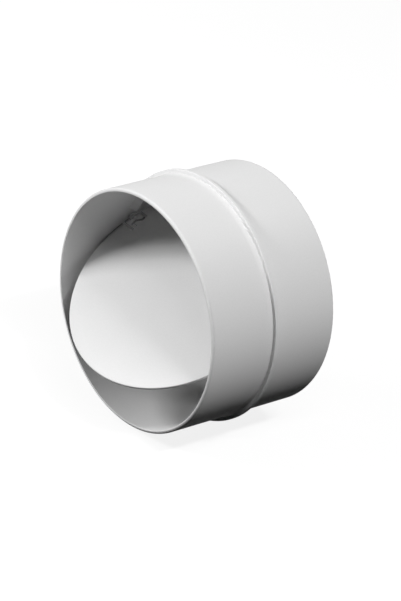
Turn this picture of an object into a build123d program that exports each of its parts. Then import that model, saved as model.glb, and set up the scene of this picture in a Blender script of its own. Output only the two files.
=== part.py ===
from build123d import *
import math
import os

# A round duct connector for a 100 mm duct: one moulded tube with a stop ring round its middle,
# and inside it a thin round flap that swings on two small pins and lets air pass one way only.
# Frame: +Y runs along the tube towards its rear mouth, +X to the right, +Z up.
# The origin is on the tube's axis at the rear shoulder of the stop ring.
# All sizes are in millimetres.

# Tube
outer_radius = 50.0
wall = 1.45
front_spigot_length = 30.0
rear_spigot_length = 30.0
rim_round = 1.0
rim_break = 0.2

# Stop ring outside, with a low ramp in front of it
ring_width = 1.75
ring_height = 1.85
ring_round = 0.4
ramp_length = 2.4
ramp_height = 0.25

# Flap
flap_gap = 0.6
flap_thickness = 1.2
flap_edge_round = 0.45
pivot_height = 12.7
pivot_behind_ring = 1.1
open_angle = 53.4

# Half-ring stop inside, in front of the closed flap's upper part: a slope up to a narrow crest
stop_width = 2.9
stop_height = 2.4
stop_crest = 0.6
stop_round = 0.2
stop_gap = 0.2
stop_end_angle = 6.3

# Pins of the flap and the bosses that carry them
pin_radius = 1.0
pin_play = 0.05
pin_end_play = 0.2
pin_chamfer = 0.3
pin_root_length = 1.5
pin_root_chamfer = 0.5
boss_wall = 0.95
boss_stand = 1.4
boss_round = 0.25
blind_skin = 0.45

# Cuts in the flap beside each pin. The edge is cut back round the boss.
relief_gap = 0.4
tongue_gap = 0.3

# A winding slit goes round the tongue that holds the pin, and a straight one lies below it.
# The tongue narrows to a neck, and the thin arm between the slits lets it spring in when the
# flap is fitted. Rises and drops are measured from the pivot, along the flap.
slit_width = 1.1
tongue_length = 4.3
neck_rise = 0.8
neck_width = 2.2
neck_drop = 1.0
arm_start = 3.0
arm_end = 4.8

# How far the winding slit's upper run reaches into the cut round the boss
slit_merge = 0.05

# Sizes that follow from the ones above
bore_radius = outer_radius - wall
ring_radius = outer_radius + ring_height
stop_radius = bore_radius - stop_height
front_mouth = -(ring_width + front_spigot_length)
rear_mouth = rear_spigot_length
flap_radius = bore_radius - flap_gap
pivot_angle = math.degrees(math.acos(pivot_height / bore_radius))
hole_radius = pin_radius + pin_play
boss_radius = hole_radius + boss_wall
wall_at_pivot = math.sqrt(bore_radius**2 - pivot_height**2)
boss_face = wall_at_pivot - boss_stand
hole_end = math.sqrt(outer_radius**2 - (pivot_height + hole_radius) ** 2) - blind_skin
tongue_end = boss_face - tongue_gap
relief_half = boss_radius + relief_gap
upper_slit_rise = relief_half + slit_width / 2 - slit_merge
pivot = Vector(0, pivot_behind_ring, pivot_height)
quarter_turn = 90


def tube():
    """The wall and the stop ring, turned from one closed section (radius, place along Y)."""
    section = [
        (bore_radius, front_mouth),
        (outer_radius, front_mouth),
        (outer_radius, -ring_width - ramp_length),
        (outer_radius + ramp_height, -ring_width),
        (ring_radius, -ring_width),
        (ring_radius, 0),
        (outer_radius, 0),
        (outer_radius, rear_mouth),
        (bore_radius, rear_mouth),
    ]
    rounds = [rim_break, rim_round, 0, 0, ring_round, ring_round, 0, rim_round, rim_break]
    with BuildPart() as part:
        with BuildSketch(Plane.XY):
            with BuildLine():
                FilletPolyline(*section, radius=rounds, close=True)
            make_face()
        revolve(axis=Axis.Y)
    return part.part


def half_stop():
    """The rib on the bore in front of the closed flap, from above one boss over the top to the other."""
    rear_y = pivot.Y - flap_thickness / 2 - stop_gap
    sweep = 2 * (pivot_angle - stop_end_angle)
    root = bore_radius + wall / 2
    section = [
        (bore_radius, rear_y - stop_width),
        (root, rear_y - stop_width),
        (root, rear_y),
        (stop_radius, rear_y),
        (stop_radius, rear_y - stop_crest),
    ]
    with BuildPart() as part:
        with BuildSketch(Plane.XY):
            with BuildLine():
                FilletPolyline(*section, radius=[0, 0, 0, stop_round, stop_round], close=True)
            make_face()
        revolve(axis=Axis.Y, revolution_arc=sweep)
    return part.part.rotate(Axis.Y, -(quarter_turn + sweep / 2))


def side_cylinder(radius, inner, outer, chamfer_size=0.0):
    """A cylinder about the pivot axis on the +X side, from x = inner to x = outer."""
    plane = Plane(origin=(inner, pivot.Y, pivot.Z), x_dir=(0, 1, 0), z_dir=(1, 0, 0))
    with BuildPart(plane) as part:
        Cylinder(radius, outer - inner, align=(Align.CENTER, Align.CENTER, Align.MIN))
        if chamfer_size > 0:
            chamfer(part.edges().group_by(Axis.X)[-1], chamfer_size)
    return part.part


def bearing_boss():
    """The round boss that stands in from the wall, its inner edge rounded."""
    plane = Plane(origin=(boss_face, pivot.Y, pivot.Z), x_dir=(0, 1, 0), z_dir=(1, 0, 0))
    length = boss_stand + wall / 2
    with BuildPart(plane) as part:
        Cylinder(boss_radius, length, align=(Align.CENTER, Align.CENTER, Align.MIN))
        fillet(part.edges().group_by(Axis.X)[0], boss_round)
    return part.part


def both_sides(shape):
    """The shape and its mirror image across the tube's middle."""
    return [shape, mirror(shape, about=Plane.YZ)]


def connector_body():
    """Tube, stop and bosses as one moulding, with a blind hole for each pin."""
    body = tube() + half_stop()
    for boss in both_sides(bearing_boss()):
        body += boss
    for hole in both_sides(side_cylinder(hole_radius, boss_face - tongue_gap, hole_end)):
        body -= hole
    return body


def flap_disc():
    """The round disc in its closed place, square to the tube and centred in it."""
    half = flap_thickness / 2
    section = [(0, -half), (flap_radius, -half), (flap_radius, half), (0, half)]
    with BuildPart() as part:
        with BuildSketch(Plane.XY):
            with BuildLine():
                FilletPolyline(*section, radius=[0, flap_edge_round, flap_edge_round, 0], close=True)
            make_face()
        revolve(axis=Axis.Y)
    return Pos(0, pivot.Y, 0) * part.part


def slit(points):
    """A slit of even width with round ends along the points (x, height over the pivot)."""
    for start, end in zip(points, points[1:]):
        run = Vector(*end) - Vector(*start)
        middle = (Vector(*start) + Vector(*end)) / 2
        angle = math.degrees(math.atan2(run.Y, run.X))
        with Locations((middle.X, pivot_height + middle.Y)):
            SlotCenterToCenter(run.length, slit_width, rotation=angle)


def flap_cuts():
    """What is cut from the disc on the +X side: relief round the boss and the two slits."""
    beyond = outer_radius
    slit_end = tongue_end - tongue_length
    winding = [
        (beyond, upper_slit_rise),
        (slit_end, upper_slit_rise),
        (slit_end, neck_rise),
        (slit_end + neck_width, -neck_drop),
        (slit_end + neck_width, -arm_start),
        (slit_end, -arm_start),
    ]
    straight = [(beyond, -arm_end), (slit_end, -arm_end)]
    with BuildPart() as part:
        with BuildSketch(Plane.XZ.offset(-pivot.Y)):
            with Locations(((tongue_end + beyond) / 2, pivot_height)):
                Rectangle(beyond - tongue_end, 2 * relief_half)
            slit(winding)
            slit(straight)
        extrude(amount=flap_thickness, both=True)
    return part.part


def pin():
    """One pin, with the root that carries it onto the disc."""
    root_start = tongue_end - pin_root_length
    shaft = side_cylinder(pin_radius, root_start, hole_end - pin_end_play, pin_chamfer)
    return chamfer(shaft.edges().group_by(Axis.X)[0], pin_root_chamfer)


def flap():
    """Disc, cuts and pins as one moulding, swung open about the pivot as the photograph shows."""
    closed = flap_disc()
    for cut in both_sides(flap_cuts()):
        closed -= cut
    for side in both_sides(pin()):
        closed += side
    return closed.rotate(Axis(pivot, (1, 0, 0)), -open_angle)


os.makedirs("parts", exist_ok=True)
nodes = {"connector_body": connector_body(), "flap": flap()}
for name, shape in nodes.items():
    export_step(shape, f"parts/{name}.step")
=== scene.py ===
import math

import bpy
from mathutils import Matrix, Vector


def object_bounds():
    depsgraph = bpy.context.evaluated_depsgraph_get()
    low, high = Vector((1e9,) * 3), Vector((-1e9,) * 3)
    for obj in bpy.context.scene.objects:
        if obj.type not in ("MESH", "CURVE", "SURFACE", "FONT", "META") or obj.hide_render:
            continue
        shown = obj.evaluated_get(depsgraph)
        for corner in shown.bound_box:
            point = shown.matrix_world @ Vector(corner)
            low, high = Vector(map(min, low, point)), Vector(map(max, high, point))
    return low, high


# Angles are in degrees and lengths in metres, except for the sensor, which is in millimetres.

# Camera: the photograph's direction and lens, and the pixel that the aim point falls on
CAMERA_AZIMUTH = 47.72
CAMERA_ELEVATION = 28.98
CAMERA_ROLL = 8.71
CAMERA_DISTANCE = 1.3
FOCAL_PIXELS = 3232.1
SENSOR_WIDTH = 36.0
PICTURE_WIDTH = 401
PICTURE_HEIGHT = 601
AIM = Vector((0, -0.0009, 0))
AIM_PIXEL = (194.56, 295.49)

# Softboxes, all turned to the part's middle: azimuth, elevation, width, height, and the level,
# which is how bright a white surface that faces the lamp becomes
LAMP_DISTANCE = 1.0
LAMPS = {
    "front_left_softbox": (-30, 31, 0.34, 0.16, 0.635),
    "left_softbox": (-50, 15, 0.20, 0.14, 0.30),
    "right_softbox": (96, 54, 0.38, 0.06, 0.60),
    "front_right_softbox": (64, 56, 0.50, 0.08, 0.24),
    "rear_left_fill": (-125, 10, 0.50, 0.50, 0.06),
}

# Floor: half its width, and how much light it throws on the part. Where it is seen, it glows,
# and a smaller share is lit, so that the part's shadow shows on it.
FLOOR_HALF = 6.0
FLOOR_TONE = 0.01
FLOOR_GLOW = 0.86
FLOOR_LIT = 0.2

# White plastic
PLASTIC_TONE = 0.73
PLASTIC_ROUGHNESS = 0.85
PLASTIC_SPECULAR = 0.1

# Its unevenness. The scales count the patches along a metre.
CLOUD_SCALE = 28
SPECKLE_SCALE = 1500
GLOSS_SCALE = 90
GRAIN_SCALE = 2600
NOISE_DETAIL = 2.0
GRAIN_DETAIL = 3.0
DARKEST_SHARE = 0.985
BRIGHTEST_SHARE = 1.012
ROUGHNESS_SWING = 0.05
GRAIN_STRENGTH = 0.25
GRAIN_DEPTH = 0.00003

# How the clouds are stretched: along the tube's axis, and not at all on the flap
BODY_FLOW = (1, 0.35, 1)
FLAP_FLOW = (1, 1, 1)

# The part of a noise value's range that is used, because the rest is rare
NOISE_LOW = 0.3
NOISE_HIGH = 0.7

# Painted shade in crevices, where another surface stands close, which darkens the colour there: how far
# to look for one, the tone of a spot that is closed in all round, and the open share from which on the
# tone is full
BODY_PAINTED_SHADE = (0.006, 0.1, 0.45)
FLAP_PAINTED_SHADE = (0.0025, 0.0, 0.9)
PAINTED_SHADE_SAMPLES = 16

# The tube's round faces. Up to the first angle between the mesh's normal and a true round one,
# the round one is used, and from the second on, the mesh's.
ROUND_SURE_ANGLE = 1.6
ROUND_LOST_ANGLE = 3.0
ACROSS_TUBE = (1, 0, 1)


def direction(azimuth, elevation):
    """Unit vector from the part towards a place round it; azimuth 0 is in front, 90 on the right."""
    a = math.radians(azimuth)
    e = math.radians(elevation)
    return Vector((math.sin(a) * math.cos(e), -math.cos(a) * math.cos(e), math.sin(e)))


def add_object(name, data):
    """A new object in the scene."""
    obj = bpy.data.objects.new(name, data)
    bpy.context.scene.collection.objects.link(obj)
    return obj


def make_camera():
    """The photograph's view: a long lens from the front right and above, rolled a little."""
    towards = direction(CAMERA_AZIMUTH, CAMERA_ELEVATION)
    roll = math.radians(CAMERA_ROLL)
    level = (-towards).cross(Vector((0, 0, 1))).normalized()
    upright = level.cross(-towards)
    right = level * math.cos(roll) + upright * math.sin(roll)
    up = upright * math.cos(roll) - level * math.sin(roll)
    data = bpy.data.cameras.new("camera")
    data.sensor_fit = "HORIZONTAL"
    data.sensor_width = SENSOR_WIDTH
    data.lens = FOCAL_PIXELS * SENSOR_WIDTH / PICTURE_WIDTH
    data.shift_x = (PICTURE_WIDTH / 2 - AIM_PIXEL[0]) / PICTURE_WIDTH
    data.shift_y = (AIM_PIXEL[1] - PICTURE_HEIGHT / 2) / PICTURE_WIDTH
    camera = add_object("camera", data)
    turn = Matrix((right, up, towards)).transposed().to_4x4()
    camera.matrix_world = Matrix.Translation(AIM + towards * CAMERA_DISTANCE) @ turn
    bpy.context.scene.camera = camera


def make_lamp(name, azimuth, elevation, width, height, level):
    """A rectangular softbox that faces the part's middle."""
    towards = direction(azimuth, elevation)
    data = bpy.data.lights.new(name, "AREA")
    data.shape = "RECTANGLE"
    data.size = width
    data.size_y = height
    data.energy = level * (math.pi * LAMP_DISTANCE) ** 2
    lamp = add_object(name, data)
    lamp.location = AIM + towards * LAMP_DISTANCE
    lamp.rotation_mode = "QUATERNION"
    lamp.rotation_quaternion = towards.to_track_quat("Z", "Y")


def maths(tree, operation, *values):
    """The value of a Math node on the given values."""
    node = tree.nodes.new("ShaderNodeMath")
    node.operation = operation
    for value, socket in zip(values, node.inputs):
        tree.links.new(value, socket)
    return node.outputs["Value"]


def vector_maths(tree, operation, *vectors):
    """A Vector Math node on the given vectors."""
    node = tree.nodes.new("ShaderNodeVectorMath")
    node.operation = operation
    for vector, socket in zip(vectors, node.inputs):
        tree.links.new(vector, socket)
    return node


def map_range(tree, value, from_low, from_high, to_low, to_high):
    """The value, taken from one range to another and held within it."""
    node = tree.nodes.new("ShaderNodeMapRange")
    node.inputs["From Min"].default_value = from_low
    node.inputs["From Max"].default_value = from_high
    node.inputs["To Min"].default_value = to_low
    node.inputs["To Max"].default_value = to_high
    tree.links.new(value, node.inputs["Value"])
    return node.outputs["Result"]


def noise(tree, place, scale, detail=NOISE_DETAIL):
    """Soft noise at the given place, with the given number of patches to a metre."""
    node = tree.nodes.new("ShaderNodeTexNoise")
    node.inputs["Scale"].default_value = scale
    node.inputs["Detail"].default_value = detail
    tree.links.new(place, node.inputs["Vector"])
    return node.outputs["Fac"]


def spread_noise(tree, place, scale, low, high):
    """Noise that runs from low to high."""
    return map_range(tree, noise(tree, place, scale), NOISE_LOW, NOISE_HIGH, low, high)


def shown_share(tree):
    """1 for rays that show the background, straight, through glass or in gloss, and 0 for the rest."""
    path = tree.nodes.new("ShaderNodeLightPath")
    share = path.outputs["Is Camera Ray"]
    for kind in ("Is Glossy Ray", "Is Transmission Ray"):
        share = maths(tree, "MAXIMUM", share, path.outputs[kind])
    return share


def make_world():
    """White where it is shown, and no light of its own."""
    world = bpy.data.worlds.new("studio")
    world.use_nodes = True
    bpy.context.scene.world = world
    tree = world.node_tree
    white = tree.nodes["Background"]
    white.inputs["Color"].default_value = (1, 1, 1, 1)
    tree.links.new(shown_share(tree), white.inputs["Strength"])


def diffuse(tree, tone):
    """A plain grey diffuse shader."""
    node = tree.nodes.new("ShaderNodeBsdfDiffuse")
    node.inputs["Color"].default_value = (tone, tone, tone, 1)
    return node.outputs["BSDF"]


def floor_material():
    """Pale where it is seen, with the part's shadow on it; darker for the light it throws back."""
    material = bpy.data.materials.new("studio_floor")
    material.use_nodes = True
    tree = material.node_tree
    tree.nodes.remove(tree.nodes["Principled BSDF"])
    glow = tree.nodes.new("ShaderNodeEmission")
    glow.inputs["Color"].default_value = (1, 1, 1, 1)
    glow.inputs["Strength"].default_value = FLOOR_GLOW
    seen = tree.nodes.new("ShaderNodeAddShader")
    tree.links.new(diffuse(tree, FLOOR_LIT), seen.inputs[0])
    tree.links.new(glow.outputs["Emission"], seen.inputs[1])
    mix = tree.nodes.new("ShaderNodeMixShader")
    tree.links.new(shown_share(tree), mix.inputs["Fac"])
    tree.links.new(diffuse(tree, FLOOR_TONE), mix.inputs[1])
    tree.links.new(seen.outputs["Shader"], mix.inputs[2])
    tree.links.new(mix.outputs["Shader"], tree.nodes["Material Output"].inputs["Surface"])
    return material


def make_floor(height):
    """A wide square floor under the part."""
    corners = ((-1, -1), (1, -1), (1, 1), (-1, 1))
    points = [(x * FLOOR_HALF, y * FLOOR_HALF, height) for x, y in corners]
    mesh = bpy.data.meshes.new("floor")
    mesh.from_pydata(points, [], [(0, 1, 2, 3)])
    floor = add_object("floor", mesh)
    floor.data.materials.append(floor_material())


def painted_crevice_shade(tree, reach, tone, clear):
    """Painted shade: 1 on open surfaces, and less where another surface stands close, as in slits and
    corners, which darkens the colour there.
    """
    near = tree.nodes.new("ShaderNodeAmbientOcclusion")
    near.samples = PAINTED_SHADE_SAMPLES
    near.inputs["Distance"].default_value = reach
    return map_range(tree, near.outputs["AO"], 0, clear, tone, 1)


def moulded_plastic(name, flow_stretch, painted_shade):
    """White moulded plastic: faint flow clouds, fine speckle, uneven gloss and a spark-eroded grain,
    with painted shade darkening its colour in slits and corners.
    """
    material = bpy.data.materials.new(name)
    material.use_nodes = True
    tree = material.node_tree
    shader = tree.nodes["Principled BSDF"]
    place = tree.nodes.new("ShaderNodeTexCoord").outputs["Object"]
    stretch = tree.nodes.new("ShaderNodeMapping")
    stretch.inputs["Scale"].default_value = flow_stretch
    tree.links.new(place, stretch.inputs["Vector"])
    flow = stretch.outputs["Vector"]
    darkest = PLASTIC_TONE * DARKEST_SHARE
    brightest = PLASTIC_TONE * BRIGHTEST_SHARE
    clouds = spread_noise(tree, flow, CLOUD_SCALE, darkest, brightest)
    speckle = spread_noise(tree, place, SPECKLE_SCALE, DARKEST_SHARE, BRIGHTEST_SHARE)
    uneven = maths(tree, "MULTIPLY", clouds, speckle)
    # The colour is darkened by painted shade where another surface stands close.
    grey = maths(tree, "MULTIPLY", uneven, painted_crevice_shade(tree, *painted_shade))
    colour = tree.nodes.new("ShaderNodeCombineColor")
    for channel in ("Red", "Green", "Blue"):
        tree.links.new(grey, colour.inputs[channel])
    tree.links.new(colour.outputs["Color"], shader.inputs["Base Color"])
    smoothest = PLASTIC_ROUGHNESS - ROUGHNESS_SWING
    roughest = PLASTIC_ROUGHNESS + ROUGHNESS_SWING
    roughness = spread_noise(tree, flow, GLOSS_SCALE, smoothest, roughest)
    tree.links.new(roughness, shader.inputs["Roughness"])
    shader.inputs["Specular IOR Level"].default_value = PLASTIC_SPECULAR
    bump = tree.nodes.new("ShaderNodeBump")
    bump.inputs["Strength"].default_value = GRAIN_STRENGTH
    bump.inputs["Distance"].default_value = GRAIN_DEPTH
    tree.links.new(noise(tree, place, GRAIN_SCALE, GRAIN_DETAIL), bump.inputs["Height"])
    tree.links.new(bump.outputs["Normal"], shader.inputs["Normal"])
    return material


def use_round_normal(material):
    """Gives the tube's round faces their true normal, so that no seam shows where the mesh closes."""
    tree = material.node_tree
    spot = tree.nodes.new("ShaderNodeTexCoord")
    across = vector_maths(tree, "MULTIPLY", spot.outputs["Object"])
    across.inputs[1].default_value = ACROSS_TUBE
    outward = vector_maths(tree, "NORMALIZE", across.outputs["Vector"]).outputs["Vector"]
    facing = vector_maths(tree, "DOT_PRODUCT", outward, spot.outputs["Normal"]).outputs["Value"]
    round_normal = vector_maths(tree, "SCALE", outward)
    tree.links.new(maths(tree, "SIGN", facing), round_normal.inputs["Scale"])
    lost = math.cos(math.radians(ROUND_LOST_ANGLE))
    sure = math.cos(math.radians(ROUND_SURE_ANGLE))
    round_share = map_range(tree, maths(tree, "ABSOLUTE", facing), lost, sure, 0, 1)
    mix = tree.nodes.new("ShaderNodeMix")
    mix.data_type = "VECTOR"
    vectors_in = [socket for socket in mix.inputs if socket.enabled and socket.type == "VECTOR"]
    vectors_out = [socket for socket in mix.outputs if socket.enabled]
    tree.links.new(round_share, mix.inputs["Factor"])
    tree.links.new(spot.outputs["Normal"], vectors_in[0])
    tree.links.new(round_normal.outputs["Vector"], vectors_in[1])
    turn = tree.nodes.new("ShaderNodeVectorTransform")
    turn.vector_type = "NORMAL"
    turn.convert_from = "OBJECT"
    turn.convert_to = "WORLD"
    tree.links.new(vectors_out[0], turn.inputs["Vector"])
    tree.links.new(turn.outputs["Vector"], tree.nodes["Bump"].inputs["Normal"])


def dress(node, material):
    """Puts the material on every slot of a node."""
    for slot in node.material_slots:
        slot.material = material


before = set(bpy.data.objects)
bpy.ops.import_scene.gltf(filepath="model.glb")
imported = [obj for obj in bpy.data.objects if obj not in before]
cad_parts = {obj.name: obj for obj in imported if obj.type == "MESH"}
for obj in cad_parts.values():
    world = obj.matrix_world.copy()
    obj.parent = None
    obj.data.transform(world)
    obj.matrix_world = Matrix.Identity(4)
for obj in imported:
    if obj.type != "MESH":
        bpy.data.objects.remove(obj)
cad_low, cad_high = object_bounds()
make_camera()
for lamp_name, lamp in LAMPS.items():
    make_lamp(lamp_name, *lamp)
make_world()
make_floor(cad_low.z)
body_plastic = moulded_plastic("body_white_plastic", BODY_FLOW, BODY_PAINTED_SHADE)
use_round_normal(body_plastic)
dress(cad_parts["connector_body"], body_plastic)
flap_plastic = moulded_plastic("flap_white_plastic", FLAP_FLOW, FLAP_PAINTED_SHADE)
dress(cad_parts["flap"], flap_plastic)

bpy.context.scene.view_settings.view_transform = "Standard"
